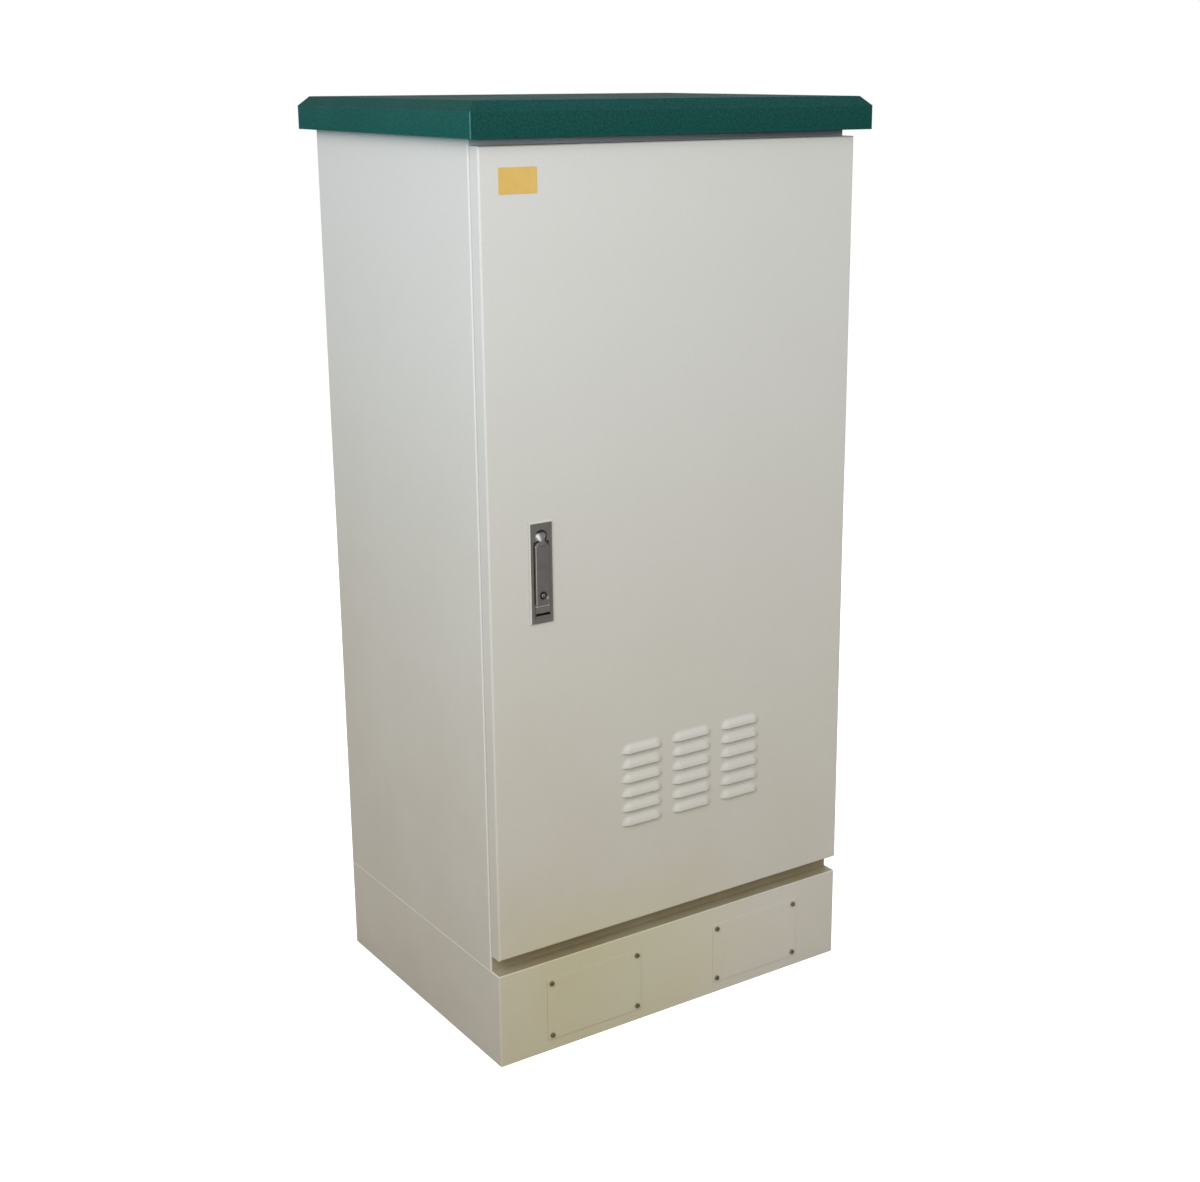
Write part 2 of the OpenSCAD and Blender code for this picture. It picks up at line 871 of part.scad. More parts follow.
// Leaf on the door: plate and two outer knuckles
module hinge_door_leaf(z) {
  plate_y = skin_y - hinge_y;
  z0 = knuckle_h / 2 + knuckle_gap;
  color("silver") translate([hinge_x, hinge_y, z]) difference() {
    union() {
      box([-leaf_back, plate_y, -leaf_h / 2], [leaf_fore, plate_y + leaf_t, leaf_h / 2]);
      for (s = [-1, 1])
        mirror([0, 0, s > 0 ? 0 : 1]) {
          translate([0, 0, z0]) cylinder(r = knuckle_r, h = knuckle_side_h);
          box([-knuckle_r, plate_y, z0], [knuckle_r, 0, z0 + knuckle_side_h]);
        }
    }
    translate([0, 0, -leaf_h]) cylinder(r = hinge_pin_r + run_fit, h = 2 * leaf_h);
  }
}

module hinge_door_leaf_lower() {
  hinge_door_leaf(hinge_zs[0]);
}

module hinge_door_leaf_middle() {
  hinge_door_leaf(hinge_zs[1]);
}

module hinge_door_leaf_upper() {
  hinge_door_leaf(hinge_zs[2]);
}

// Folded pan of the door, grown inwards by the wall
module door_block(wall, back) {
  intersection() {
    translate([0, door_y + wall]) rise(door_z0 + wall, door_z1 - wall) tub(door_w - 2 * wall, back, fold_r - wall);
    translate([0, door_y + wall, (door_z0 + door_z1) / 2])
      across(-door_w / 2 + wall, door_w / 2 - wall) rotate(-90) tub(door_h - 2 * wall, back, fold_r - wall);
  }
}

// Louvre section: a dome that runs into the sheet with a hollow curve
module louvre_section(wall, sink) {
  meet_share = (louvre_r - wall) / louvre_sum;
  meet_x = louvre_h * meet_share;
  meet_y = louvre_mid + (louvre_sum - louvre_rise) * meet_share;
  intersection() {
    translate([0, louvre_mid]) circle(louvre_r - wall);
    rect([0, -sink], [meet_x, louvre_out]);
  }
  difference() {
    rect([meet_x, -sink], [louvre_h, meet_y]);
    translate([louvre_h, louvre_step + louvre_blend_r]) circle(louvre_blend_r + wall);
  }
}

// Louvre hood: straight middle and two quarter round ends
module louvre(wall, sink) {
  half = louvre_w / 2 - louvre_h;
  translate([-half, 0, 0]) rotate([90, 0, 90]) linear_extrude(2 * half) louvre_section(wall, sink);
  translate([half, 0, 0]) rotate_extrude(angle = 90) louvre_section(wall, sink);
  translate([-half, 0, 0]) rotate(90) rotate_extrude(angle = 90) louvre_section(wall, sink);
}

module at_louvres() {
  for (c = [0 : louvre_n - 1])
    for (i = [0 : louvre_rows - 1])
      translate([
        louvre_x + (c - (louvre_n - 1) / 2) * louvre_px,
        door_y,
        door_z0 + louvre_z + i * louvre_pz
      ]) front() children();
}

module door_panel() {
  color("gainsboro") difference() {
    union() {
      door_block(0, door_d);
      at_louvres() louvre(0, louvre_sink);
    }
    door_block(sheet_t, door_d);
    at_louvres() louvre(sheet_t, sheet_t + over);
    box(
      [lock_x - boss_w / 2 - free_fit, door_y - over, lock_z - boss_low - free_fit],
      [lock_x + boss_w / 2 + free_fit, skin_y + over, lock_z + boss_top + free_fit]
    );
    for (z = hinge_zs)
      box(
        [hinge_x + knuckle_r + free_fit, hinge_y - notch_low, z - knuckle_h / 2 - notch_clear],
        [door_w / 2 + over, door_y + door_d + over, z + knuckle_h / 2 + notch_clear]
      );
  }
}

module door_gasket() {
  mid_x = open_x + sheet_t / 2;
  mid_z0 = open_z0 - sheet_t / 2;
  mid_z1 = open_z1 + sheet_t / 2;
  color("black") difference() {
    box(
      [-mid_x - gasket_w / 2, skin_y, mid_z0 - gasket_w / 2],
      [mid_x + gasket_w / 2, lip_y - gasket_gap, mid_z1 + gasket_w / 2]
    );
    box(
      [-mid_x + gasket_w / 2, skin_y - over, mid_z0 + gasket_w / 2],
      [mid_x - gasket_w / 2, lip_y + over, mid_z1 - gasket_w / 2]
    );
  }
}

// Top hat section stiffener
module door_brace(x) {
  color("gainsboro") translate([x, skin_y]) rise(open_z0 + brace_end, open_z1 - brace_end) difference() {
    union() {
      rect([-brace_w / 2 - brace_foot, 0], [brace_w / 2 + brace_foot, sheet_t]);
      rect([-brace_w / 2, 0], [brace_w / 2, brace_d]);
    }
    rect([-brace_w / 2 + sheet_t, -over], [brace_w / 2 - sheet_t, brace_d - sheet_t]);
  }
}

module door_brace_left() {
  door_brace(brace_left_x);
}

module door_brace_right() {
  door_brace(brace_right_x);
}

module at_filter_studs() {
  for (x = [-1, 1])
    for (z = [1, 2])
      translate([
        louvre_x + x * (filter_w + filter_ear) / 2,
        skin_y,
        filter_z + z * filter_h / 3
      ]) rotate([-90, 0, 0]) children();
}

module filter_frame() {
  color("silver") difference() {
    union() {
      translate([louvre_x, skin_y, filter_z]) {
        box([-filter_w / 2, 0, 0], [filter_w / 2, filter_d, filter_h]);
        box([-filter_w / 2 - filter_ear, 0, 0], [filter_w / 2 + filter_ear, filter_t, filter_h]);
      }
    }
    translate([louvre_x, skin_y, filter_z]) {
      box([-filter_w / 2 + filter_t, -over, filter_t], [filter_w / 2 - filter_t, filter_d - filter_t, filter_h - filter_t]);
      box([-filter_w / 2 + filter_rim, 0, filter_rim], [filter_w / 2 - filter_rim, filter_d + over, filter_h - filter_rim]);
    }
    at_filter_studs() cylinder(r = stud_hole_r, h = filter_t + over);
  }
}

module filter_pad() {
  color("darkgray") translate([louvre_x, skin_y, filter_z]) box(
    [-filter_w / 2 + filter_t, filter_d - filter_t - filter_pad_t, filter_t],
    [filter_w / 2 - filter_t, filter_d - filter_t, filter_h - filter_t]
  );
}

module filter_nuts() {
  color("silver") at_filter_studs() {
    cylinder(r = stud_r, h = stud_l);
    translate([0, 0, filter_t]) cylinder(r = stud_nut_r, h = stud_nut_h, $fn = hex_sides);
  }
}

// Places lock parts: local Z points out of the door's face, local Y up
module at_lock() {
  translate([lock_x, door_y, lock_z]) front() children();
}

// Block in the lock's axes: sideways, up, and out of the door
module lock_box(u, w, d) {
  box([u[0], w[0], d[0]], [u[1], w[1], d[1]]);
}

// Raised foot of the bezel below the lever
module bezel_foot() {
  translate([-foot_w / 2, 0, 0]) rotate([90, 0, 90]) linear_extrude(foot_w) polygon([
    [-foot_top, 0],
    [-foot_top, bezel_t + foot_t],
    [-foot_flat, bezel_t + foot_t],
    [-foot_low, bezel_t],
    [-foot_low, 0]
  ]);
}

module lock_bezel() {
  pocket_w = lever_w + 2 * pocket_gap;
  color("darkgray") at_lock() difference() {
    union() {
      translate([0, bezel_top - bezel_h / 2, 0]) intersection() {
        translate([0, bezel_h / 2, 0]) rotate([90, 0, 0]) linear_extrude(bezel_h)
          bevel_bar(bezel_w, bezel_rim, bezel_t, bezel_bevel);
        translate([-bezel_w / 2, 0, 0]) rotate([90, 0, 90]) linear_extrude(bezel_w)
          bevel_bar(bezel_h, bezel_rim, bezel_t, bezel_bevel);
      }
      lock_box([-boss_w / 2, boss_w / 2], [-boss_low, boss_top], [-boss_d, bezel_rim]);
      bezel_foot();
    }
    translate([0, 0, dish_floor]) cylinder(r = dish_r, h = bezel_t - dish_floor + over);
    lock_box([-pocket_w / 2, pocket_w / 2], [-foot_top, -lever_top], [dish_floor, bezel_t + foot_t + over]);
    translate([0, 0, -boss_d - over]) cylinder(r = shaft_r + run_fit, h = boss_d + bezel_t);
    lock_box(
      [-finger_w / 2, finger_w / 2],
      [-finger_at - finger_h / 2, -finger_at + finger_h / 2],
      [bezel_t + foot_t - finger_d, bezel_t + foot_t + over]
    );
    for (z = clamp_screw_z)
      translate([0, z, -boss_d - over]) cylinder(r = clamp_screw_r, h = clamp_screw_l + over);
  }
}

module lock_clamp() {
  color("silver") at_lock() difference() {
    lock_box(
      [-boss_w / 2, boss_w / 2],
      [-boss_low - clamp_gap - clamp_t, boss_top + clamp_gap + clamp_t],
      [-boss_d - clamp_t, -sheet_t]
    );
    lock_box(
      [-boss_w / 2 - over, boss_w / 2 + over],
      [-boss_low - clamp_gap, boss_top + clamp_gap],
      [-boss_d, over]
    );
    translate([0, 0, -boss_d - clamp_t - over]) cylinder(r = shaft_r + clamp_gap, h = clamp_t + 2 * over);
    for (z = clamp_screw_z)
      translate([0, z, -boss_d - clamp_t - over]) cylinder(r = clamp_screw_r, h = clamp_t + 2 * over);
  }
}

module lock_screws() {
  color("silver") at_lock() for (z = clamp_screw_z)
    translate([0, z, -boss_d - clamp_t]) rotate([180, 0, 0])
      screw(clamp_screw_r, clamp_screw_l, clamp_head_r, clamp_head_h);
}

// Sloping hub between the dish and the lever's shoulders
module spindle_hub(front_z) {
  intersection() {
    translate([-hub_wide, 0, 0]) rotate([90, 0, 90]) linear_extrude(2 * hub_wide) polygon([
      [hub_top, hub_z],
      [hub_top, hub_z + hub_rise],
      [-neck_front, front_z],
      [-neck_low, front_z],
      [-neck_low, hub_z]
    ]);
    translate([0, hub_top, 0]) rotate([90, 0, 0]) linear_extrude(hub_top + neck_low) polygon([
      [-hub_wide, hub_z],
      [hub_wide, hub_z],
      [hub_wide, front_z - hub_side],
      [hub_ridge, front_z],
      [-hub_ridge, front_z],
      [-hub_wide, front_z - hub_side]
    ]);
    rise(hub_z, front_z) polygon([
      [-neck_w / 2, -neck_low],
      [neck_w / 2, -neck_low],
      [hub_wide, hub_wide_up],
      [hub_top_w, hub_top],
      [-hub_top_w, hub_top],
      [-hub_wide, hub_wide_up]
    ]);
  }
}

module lock_spindle() {
  front_z = lever_y + lever_t;
  pin_z = lever_y + lever_round;
  neck_end = lever_round - lever_gap / 2;
  color("darkgray") at_lock() difference() {
    union() {
      translate([0, 0, hub_z]) cylinder(r = hub_r, h = hub_t);
      spindle_hub(front_z);
      translate([-neck_w / 2, 0, 0]) rotate([90, 0, 90]) linear_extrude(neck_w) {
        polygon([
          [-neck_front, hub_z],
          [-neck_front, pin_z + neck_end],
          [-lever_pivot, pin_z + neck_end],
          [-lever_pivot, pin_z - neck_end],
          [-neck_back, pin_z - neck_end],
          [-neck_low, hub_z]
        ]);
        translate([-lever_pivot, pin_z]) circle(neck_end);
      }
      translate([0, 0, -shaft_end]) cylinder(r = shaft_r, h = shaft_end + hub_z);
      translate([-square_w / 2, -square_w / 2, -shaft_end - cam_t]) cube([square_w, square_w, cam_t + over]);
    }
    translate([-bezel_w / 2, -lever_pivot, pin_z]) rotate([0, 90, 0]) cylinder(r = lever_pin_r + run_fit, h = bezel_w);
    translate([0, 0, -shaft_end - cam_t - over]) cylinder(r = cam_screw_r, h = cam_screw_l + over);
  }
}

module lock_cam() {
  color("silver") at_lock() difference() {
    union() {
      translate([0, 0, -shaft_end - cam_t]) {
        cylinder(r = cam_hub_r, h = cam_t);
        rotate(135) translate([-cam_r, -cam_bar_w / 2, 0]) cube([2 * cam_r, cam_bar_w, cam_t]);
      }
      for (s = [-1, 1])
        translate([-s * pin_at, s * pin_at, -shaft_end - cam_t]) {
          cylinder(r = cam_lobe_r, h = cam_t);
          translate([0, 0, -cam_pin_l]) cylinder(r = cam_pin_r, h = cam_pin_l + over);
        }
    }
    translate([-square_w / 2, -square_w / 2, -shaft_end - cam_t - over]) cube([square_w, square_w, cam_t + 2 * over]);
  }
}

module cam_screw() {
  color("silver") at_lock() translate([0, 0, -shaft_end - cam_t]) rotate([180, 0, 0])
    screw(cam_screw_r, cam_screw_l, cam_head_r, cam_head_h);
}

// Outline of the lever: shoulders, long sides and bevelled foot corners
module lever_outline() {
  half = lever_w / 2;
  polygon([
    [-lever_tip_w, -lever_top],
    [-half, -lever_neck],
    [-half, -lever_low + lever_corner],
    [-half + lever_corner, -lever_low],
    [half - lever_corner, -lever_low],
    [half, -lever_low + lever_corner],
    [half, -lever_neck],
    [lever_tip_w, -lever_top]
  ]);
}

module lock_lever() {
  pin_z = lever_y + lever_round;
  slot_r = lever_round + lever_gap;
  slot_w = neck_w + 2 * lever_gap;
  color("darkgray") at_lock() difference() {
    intersection() {
      rise(lever_y, lever_y + lever_t) lever_outline();
      translate([0, 0, lever_y]) rotate([90, 0, 0]) linear_extrude(lever_low)
        bevel_bar(lever_w, lever_t - lever_edge, lever_t, lever_edge);
    }
    translate([0, -lever_pivot, pin_z]) rotate([lever_lift_a, 0, 0])
      lock_box([-lever_w, lever_w], [-lever_round, lever_neck], [-lever_neck, bezel_t + lever_gap / 2 - pin_z]);
    lock_box([-slot_w / 2, slot_w / 2], [-lever_pivot, 0], [lever_y - over, lever_y + lever_t + over]);
    translate([-slot_w / 2, -lever_pivot, pin_z]) rotate([0, 90, 0]) cylinder(r = slot_r, h = slot_w);
    translate([-bezel_w / 2, -lever_pivot, pin_z]) rotate([0, 90, 0]) cylinder(r = lever_pin_r, h = bezel_w);
    translate([0, -key_low, lever_y - over]) cylinder(r = key_r + run_fit, h = lever_t + 2 * over);
    translate([0, -key_low, lever_y - over]) cylinder(r = key_collar_r + run_fit, h = key_collar_h + run_fit + over);
    translate([0, -key_low, lever_y + lever_t - key_sink])
      cylinder(r1 = key_r + run_fit, r2 = key_r + run_fit + key_sink + over, h = key_sink + over);
  }
}

module lever_pin() {
  l = neck_w + 2 * (lever_gap + pin_seat);
  color("silver") at_lock() translate([-l / 2, -lever_pivot, lever_y + lever_round]) rotate([0, 90, 0])
    cylinder(r = lever_pin_r, h = l);
}

module key_cylinder() {
  color("silver") at_lock() translate([0, -key_low, lever_y]) difference() {
    union() {
      cylinder(r = key_r, h = lever_t + key_out);
      cylinder(r = key_collar_r, h = key_collar_h);
    }
    translate([-key_slot_w / 2, -key_slot_l / 2, lever_t + key_out - key_slot_d])
      cube([key_slot_w, key_slot_l, key_slot_d + over]);
    translate([0, 0, lever_t + key_out - key_groove_d]) linear_extrude(key_groove_d + over) difference() {
      circle(key_groove_out);
      circle(key_groove_in);
    }
  }
}

// Flat rod going up from the cam, with a cross slot for its pin
module rod(reach) {
  slot_in = pin_at - cam_pin_r - rod_slot_gap;
  slot_out = cam_r + cam_pin_r + rod_slot_gap;
  slot_h = cam_pin_r + rod_slot_gap;
  low = pin_at - slot_h - rod_wall;
  translate([0, 0, -rod_y0 - rod_t]) linear_extrude(rod_t) difference() {
    translate([-rod_x, 0]) polygon([
      [-rod_w / 2, low],
      [rod_w / 2, low],
      [rod_w / 2, reach - rod_tip],
      [rod_w / 2 - rod_tip, reach],
      [-rod_w / 2 + rod_tip, reach],
      [-rod_w / 2, reach - rod_tip]
    ]);
    rect([-slot_out, pin_at - slot_h], [-slot_in, pin_at + slot_h]);
  }
}

module rod_upper() {
  color("silver") at_lock() rod(open_z1 - rod_short - lock_z);
}

module rod_lower() {
  color("silver") at_lock() rotate(180) rod(lock_z - open_z0 - rod_short);
}

// Angle bracket on the door with a slot for a rod
module rod_guide(at) {
  y1 = rod_y0 + rod_t + guide_past;
  color("silver") difference() {
    union() {
      lock_box([-rod_x - guide_w / 2, -rod_x + guide_w / 2], [at, at + guide_h], [-sheet_t - guide_t, -sheet_t]);
      lock_box([-rod_x - guide_w / 2, -rod_x + guide_w / 2], [at, at + guide_t], [-y1, -sheet_t]);
    }
    lock_box(
      [-rod_x - rod_w / 2 - free_fit, -rod_x + rod_w / 2 + free_fit],
      [at - over, at + guide_t + over],
      [-rod_y0 - rod_t - free_fit, -rod_y0 + free_fit]
    );
  }
}

module rod_guide_upper() {
  at_lock() rod_guide(open_z1 - guide_in - lock_z);
}

module rod_guide_lower() {
  at_lock() rotate(180) rod_guide(lock_z - open_z0 - guide_in);
}

plinth_frame();
plinth_cover_left();
plinth_cover_right();
cover_screws();
cover_nuts();
side_panel_left();
side_panel_right();
rear_panel();
top_panel();
bottom_panel();
frame_header();
frame_sill();
base_bolts();
gland_plate();
gland_screws();
cable_grommets();
roof();
roof_spacers();
roof_bolts();
rack_rail_front_left();
rack_rail_front_right();
rack_rail_rear_left();
rack_rail_rear_right();
depth_beam_lower_left();
depth_beam_lower_right();
depth_beam_upper_left();
depth_beam_upper_right();
rail_bolts();
hinge_frame_leaf_lower();
hinge_frame_leaf_middle();
hinge_frame_leaf_upper();
hinge_screws();
hinge_pins();
hinge_door_leaf_lower();
hinge_door_leaf_middle();
hinge_door_leaf_upper();
door_panel();
door_gasket();
door_brace_left();
door_brace_right();
filter_frame();
filter_pad();
filter_nuts();
lock_bezel();
lock_clamp();
lock_screws();
lock_spindle();
lock_cam();
cam_screw();
lock_lever();
lever_pin();
key_cylinder();
rod_upper();
rod_lower();
rod_guide_upper();
rod_guide_lower();
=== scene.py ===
import json
import math

import bmesh
import bpy
from mathutils import Matrix, Vector


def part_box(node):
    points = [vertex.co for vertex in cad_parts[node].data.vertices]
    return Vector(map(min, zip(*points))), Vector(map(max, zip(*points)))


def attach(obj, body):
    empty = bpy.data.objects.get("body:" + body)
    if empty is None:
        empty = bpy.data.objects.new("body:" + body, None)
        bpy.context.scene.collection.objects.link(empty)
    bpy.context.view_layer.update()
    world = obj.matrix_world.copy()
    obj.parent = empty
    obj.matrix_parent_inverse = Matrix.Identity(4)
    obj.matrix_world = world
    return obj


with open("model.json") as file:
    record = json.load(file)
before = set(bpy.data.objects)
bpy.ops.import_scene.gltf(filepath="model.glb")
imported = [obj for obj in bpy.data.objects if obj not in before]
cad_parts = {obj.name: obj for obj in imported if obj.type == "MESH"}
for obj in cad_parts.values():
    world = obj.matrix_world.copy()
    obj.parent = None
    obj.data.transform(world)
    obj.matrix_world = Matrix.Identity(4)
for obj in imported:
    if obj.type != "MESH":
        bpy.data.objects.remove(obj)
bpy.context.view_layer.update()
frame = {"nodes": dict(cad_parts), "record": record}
nodes = frame["nodes"]
print("stage: frame loaded,", len(nodes), "nodes")

noiseSpan = (0.3, 0.7)  # nearly all of a noise texture lies between these values
softEdge = 0.0002  # fade at a mark's edge where the mark gives none, in metres


# shader helpers, sizes in metres
def startMaterial(name):
    mat = bpy.data.materials.new(name)
    mat.use_nodes = True
    tree = mat.node_tree
    return mat, tree, tree.nodes["Principled BSDF"]


def addNode(tree, kind, **settings):
    node = tree.nodes.new(kind)
    for key, value in settings.items():
        if key in node.inputs:
            node.inputs[key].default_value = value
        else:
            setattr(node, key, value)
    return node


def objectPlace(tree, stretch=(1, 1, 1)):
    coords = addNode(tree, "ShaderNodeTexCoord")
    mapping = addNode(tree, "ShaderNodeMapping", Scale=stretch)
    tree.links.new(coords.outputs["Object"], mapping.inputs["Vector"])
    return mapping.outputs["Vector"]


def noise(tree, place, scale, detail=2.0, rough=0.5):
    node = addNode(tree, "ShaderNodeTexNoise", Scale=scale, Detail=detail, Roughness=rough)
    tree.links.new(place, node.inputs["Vector"])
    return node.outputs["Fac"]


def spread(tree, value, low, high, toLow, toHigh):
    node = addNode(tree, "ShaderNodeMapRange")
    for i, number in enumerate((low, high, toLow, toHigh), 1):
        node.inputs[i].default_value = number
    tree.links.new(value, node.inputs[0])
    return node.outputs[0]


def blendColours(tree, share, first, second, mode="MIX"):
    node = addNode(tree, "ShaderNodeMix", data_type="RGBA", blend_type=mode)
    tree.links.new(share, node.inputs[0])
    for socket, colour in ((node.inputs[6], first), (node.inputs[7], second)):
        if hasattr(colour, "is_linked"):
            tree.links.new(colour, socket)
        else:
            socket.default_value = (*colour, 1.0)
    return node.outputs[2]


def times(tree, first, second):
    node = addNode(tree, "ShaderNodeMath", operation="MULTIPLY")
    for socket, value in zip(node.inputs, (first, second)):
        if hasattr(value, "is_linked"):
            tree.links.new(value, socket)
        else:
            socket.default_value = value
    return node.outputs[0]


def addBump(tree, shader, height, distance):
    node = addNode(tree, "ShaderNodeBump", Distance=distance)
    tree.links.new(height, node.inputs["Height"])
    tree.links.new(node.outputs["Normal"], shader.inputs["Normal"])


def splitAxes(tree, vector):
    node = addNode(tree, "ShaderNodeSeparateXYZ")
    tree.links.new(vector, node.inputs[0])
    return node.outputs


# 1 between low and high, fading to 0 outside
def within(tree, value, low, high, soft=softEdge):
    rising = spread(tree, value, low - soft, low, 0.0, 1.0)
    falling = spread(tree, value, high, high + soft, 1.0, 0.0)
    return times(tree, rising, falling)


# 1 inside a mark's ranges on the axes that it names; soft is one fade or one for each axis
def insideMark(tree, place, mark):
    axes = splitAxes(tree, place)
    soft = mark.get("soft", softEdge)
    inside = None
    for axis in "XYZ":
        if axis in mark:
            fade = soft[axis] if isinstance(soft, dict) else soft
            part = within(tree, axes[axis], *mark[axis], fade)
            inside = part if inside is None else times(tree, inside, part)
    return inside


# 1 inside a ring about an axis along Y
def insideRing(tree, place, ring):
    x, z = ring["centre"]
    flat = addNode(tree, "ShaderNodeMapping", Location=(-x, 0, -z), Scale=(1, 0, 1))
    tree.links.new(place, flat.inputs["Vector"])
    reach = addNode(tree, "ShaderNodeVectorMath", operation="LENGTH")
    tree.links.new(flat.outputs["Vector"], reach.inputs[0])
    return within(tree, reach.outputs["Value"], ring["inner"], ring["outer"])


# a range of one axis, from its middle and half its width
def band(middle, half):
    return (middle - half, middle + half)


# marks measured from a corner, moved to where that corner is
def marksFrom(corner, *marks):
    moved = []
    for mark in marks:
        placed = dict(mark)
        for axis, start in zip("XYZ", corner):
            if axis in mark:
                placed[axis] = tuple(start + end for end in mark[axis])
        moved.append(placed)
    return moved


def lowerLeft(node):
    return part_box(node)[0]


def upperLeft(node):
    low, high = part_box(node)
    return Vector((low.x, low.y, high.z))


# powder coat: orange peel, faint mottling, a film of dust and painted shade low down, and local marks, some
# of them painted light and shade
coatGrain = {
    "mottleDetail": 8.0, "mottleRough": 0.75, "grainSpan": (0.35, 0.65),
    "dustDetail": 5.0, "dustRough": 0.6, "dustThin": 0.75, "dustAndShadeAcross": (-0.3, 0.33),
    "wearFiner": 3, "wearDetail": 3.0, "smoother": 0.04, "rougher": 0.05, "peelDetail": 1.5,
}


def powderCoat(name, look):
    mat, tree, shader = startMaterial(name)
    place = objectPlace(tree)
    mottle = noise(tree, place, look["mottleScale"], coatGrain["mottleDetail"], coatGrain["mottleRough"])
    colour = blendColours(tree, spread(tree, mottle, *noiseSpan, 0.0, 1.0), look["colour"], look["shade"])
    grain = noise(tree, place, look["grainScale"])
    specks = spread(tree, grain, *coatGrain["grainSpan"], 0.0, look["grain"])
    colour = blendColours(tree, specks, colour, look["speck"])
    axes = splitAxes(tree, place)
    # darker and warmer between two heights: a film of dust together with painted shade
    height = spread(tree, axes["Z"], look["dustAndShadeTop"], look["dustAndShadeLow"], 0.0, look["dustAndShade"])
    across = spread(tree, axes["X"], *coatGrain["dustAndShadeAcross"], 1.0, look["dustAndShadeRight"])
    clouds = noise(tree, place, look["dustScale"], coatGrain["dustDetail"], coatGrain["dustRough"])
    patchy = spread(tree, clouds, *noiseSpan, coatGrain["dustThin"], 1.0)
    dustAndShade = times(tree, times(tree, height, across), patchy)
    colour = blendColours(tree, dustAndShade, colour, look["dustAndShadeColour"])
    for mark in look["marks"]:
        share = times(tree, insideMark(tree, place, mark), times(tree, patchy, mark.get("share", 1.0)))
        colour = blendColours(tree, share, colour, mark["colour"], mark.get("mode", "MIX"))
    tree.links.new(colour, shader.inputs["Base Color"])
    wear = noise(tree, place, look["mottleScale"] * coatGrain["wearFiner"], coatGrain["wearDetail"])
    smooth, rough = look["rough"] - coatGrain["smoother"], look["rough"] + coatGrain["rougher"]
    tree.links.new(spread(tree, wear, *noiseSpan, smooth, rough), shader.inputs["Roughness"])
    shader.inputs["Specular IOR Level"].default_value = look["gloss"]
    addBump(tree, shader, noise(tree, place, look["peelScale"], coatGrain["peelDetail"]), look["peelDepth"])
    return mat


# marks on the panels: the plinth's from its lower left corner, the neck's from the door's upper left one
frontSkin = (-0.01, 0.0045)  # depth that holds the front faces of plinth and door
neck = {"X": (0.002, 0.647), "Y": (0.015, 0.038), "Z": (0.002, 0.0435), "soft": 0.0015}
plinthMarks = marksFrom(
    lowerLeft("plinth_frame"),
    {  # painted shade in the gap below the door
        "X": (0.002, 0.648), "Y": (0.0025, 0.1), "Z": (0.1495, 0.1755), "soft": 0.0012,
        "colour": (0.30, 0.25, 0.145),
    },
    {  # yellow film on the left of the front
        "X": (0.075, 0.265), "Y": frontSkin, "Z": (-0.1, 0.15), "soft": {"X": 0.22, "Y": 0.001, "Z": 0.12},
        "mode": "MULTIPLY", "colour": (1.01, 1.01, 0.83),
    },
    {  # cleaner right of the middle
        "X": (0.365, 0.545), "Y": frontSkin, "Z": (-0.1, 0.14), "soft": {"X": 0.12, "Y": 0.001, "Z": 0.02},
        "mode": "MULTIPLY", "colour": (1.07, 1.07, 1.06),
    },
)
neckMarks = marksFrom(
    upperLeft("door_panel"),
    dict(neck, colour=(0.615, 0.75, 0.88)),  # painted light: cool tone between door and roof, bounced off the roof
    dict(  # painted shade, darker to the right
        neck, X=(0.4745, 0.647), soft={"X": 0.35, "Y": 0.0015, "Z": 0.0015},
        mode="MULTIPLY", colour=(0.46, 0.48, 0.50),
    ),
    dict(neck, Z=(0.0083, 0.0435), soft=0.002, mode="MULTIPLY", colour=(0.22, 0.24, 0.25)),  # painted shadow under the roof's skirt, above the door
)


# marks on a side face, whose X is measured from that face
sideSkin = {"out": 0.0008, "half": 0.0016, "seamHalf": 0.0014, "foldHalf": 0.0022}


def sideMarks(side):
    skin = band(side * sideSkin["out"], sideSkin["half"])
    return marksFrom(
        (side * -lowerLeft("side_panel_left").x, 0.0, 0.0),
        {  # painted shade, greyer towards the floor
            "X": skin, "Z": (-0.1, 0.1), "soft": {"X": 0.0003, "Z": 0.9},
            "share": 0.45, "colour": (0.40, 0.365, 0.36),
        },
        {  # painted shade under the roof, in a cool tone
            "X": skin, "Z": (1.362, 1.39), "soft": {"X": 0.0003, "Z": 0.008},
            "share": 0.8, "colour": (0.62, 0.83, 0.98),
        },
        {  # painted highlight along the seam on the plinth
            "X": band(0.0, sideSkin["seamHalf"]), "Z": (0.1487, 0.1502), "soft": 0.0003,
            "share": 0.4, "colour": (0.80, 0.79, 0.75),
        },
        {  # painted highlight along the front fold
            "X": band(0.0, sideSkin["foldHalf"]), "Y": (-0.2268, -0.2243), "Z": (0.152, 1.39), "soft": 0.0005,
            "share": 0.5, "colour": (0.80, 0.80, 0.79),
        },
    )


panelLook = {
    "colour": (0.605, 0.615, 0.612), "shade": (0.59, 0.598, 0.592), "speck": (0.56, 0.568, 0.555),
    "mottleScale": 3.0, "grainScale": 420.0, "grain": 0.5, "peelScale": 650.0, "peelDepth": 0.00012,
    "dustAndShadeTop": 1.1, "dustAndShadeLow": 0.0, "dustAndShade": 0.85, "dustAndShadeRight": 0.55, "dustScale": 7.0,
    "dustAndShadeColour": (0.47, 0.425, 0.33), "rough": 0.42, "gloss": 0.5,
    "marks": plinthMarks + neckMarks + sideMarks(-1) + sideMarks(1),
}


# marks on the roof's skirts and upright folds
roofSkin = {"out": 0.0006, "half": 0.001, "cornerHalf": 0.0012}


